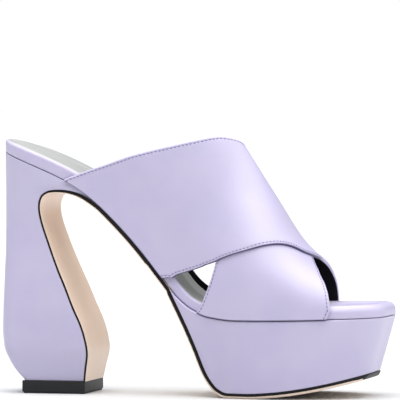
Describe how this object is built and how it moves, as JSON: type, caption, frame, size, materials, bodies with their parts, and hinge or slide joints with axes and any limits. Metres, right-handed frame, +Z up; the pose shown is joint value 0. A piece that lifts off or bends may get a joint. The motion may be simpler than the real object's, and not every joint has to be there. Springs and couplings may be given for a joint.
{
  "type": "platform mule",
  "caption": "Open-toed platform mule for a right foot, with crossed straps, a padded footbed and a tall sculpted block heel.",
  "frame": {"origin": "middle of the shoe's box, on the floor under it", "axes": "+X towards the toe, +Y towards the inner side of the foot, +Z up"},
  "size_m": [0.2192, 0.0822, 0.1434],
  "materials": {
    "lilac_leather": "smooth, softly glossy lilac leather",
    "sole_leather": "smooth tan sole leather with a black painted edge",
    "silver_leather": "metallic silver leather",
    "black_rubber": "dense matt black"
  },
  "bodies": {
    "root": {"top_lift": "black_rubber", "heel": "lilac_leather", "outsole": "sole_leather", "platform": "lilac_leather", "footbed": "lilac_leather", "sock": "silver_leather", "upper": "lilac_leather"}
  },
  "joints": []
}
